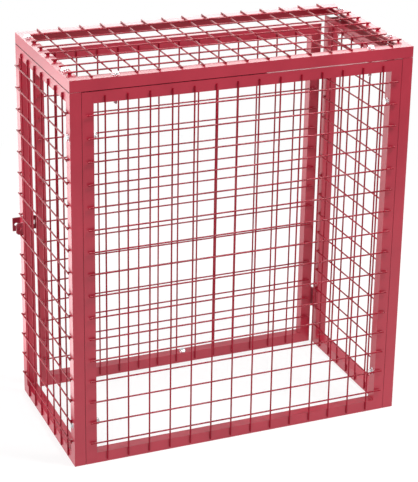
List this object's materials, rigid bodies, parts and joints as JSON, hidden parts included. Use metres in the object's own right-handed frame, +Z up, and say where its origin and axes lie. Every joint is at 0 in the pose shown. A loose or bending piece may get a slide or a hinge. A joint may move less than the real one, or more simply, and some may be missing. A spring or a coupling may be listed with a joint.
{
  "type": "gas cylinder cage",
  "caption": "Bolted cage of welded angle iron frames faced with wire mesh, with a hinged door at the back and a lug and hasp for a padlock.",
  "frame": {"origin": "on the ground, under the middle of the whole cage's box", "axes": "+Z up, +X along the long front panel to the right, +Y from the front panel to the door at the back"},
  "size_m": [0.796, 0.4134, 0.8834],
  "materials": {
    "frame_paint": "satin raspberry red powder coat on rolled angle iron",
    "wire_paint": "satin raspberry red powder coat on welded wire",
    "hinge_paint": "painted over steel butt hinge",
    "latch_paint": "satin raspberry red powder coat on flat bar",
    "zinc_fixings": "bright zinc plate on bolts and nuts"
  },
  "bodies": {
    "cage": {"lid_front_rail": "frame_paint", "lid_back_rail": "frame_paint", "lid_left_rail": "frame_paint", "lid_right_rail": "frame_paint", "lid_mesh": "wire_paint", "front_left_upright": "frame_paint", "front_right_upright": "frame_paint", "front_bottom_rail": "frame_paint", "front_top_rail": "frame_paint", "front_mesh": "wire_paint", "left_back_upright": "frame_paint", "left_front_upright": "frame_paint", "left_bottom_rail": "frame_paint", "left_top_rail": "frame_paint", "left_mesh": "wire_paint", "right_back_upright": "frame_paint", "right_front_upright": "frame_paint", "right_bottom_rail": "frame_paint", "right_top_rail": "frame_paint", "right_mesh": "wire_paint", "lower_hinge_fixed_leaf": "hinge_paint", "upper_hinge_fixed_leaf": "hinge_paint", "latch_lug": "latch_paint"},
    "door": {"door_left_upright": "frame_paint", "door_right_upright": "frame_paint", "door_bottom_rail": "frame_paint", "door_top_rail": "frame_paint", "door_mesh": "wire_paint", "lower_hinge_door_leaf": "hinge_paint", "upper_hinge_door_leaf": "hinge_paint", "door_hasp": "latch_paint"}
  },
  "joints": [
    {"name": "door_hinge", "type": "hinge", "parent": "cage", "child": "door", "pos_m": [0.369, 0.1897, 0.423], "axis": [0, 0, -1], "range_deg": [0, 110]}
  ]
}
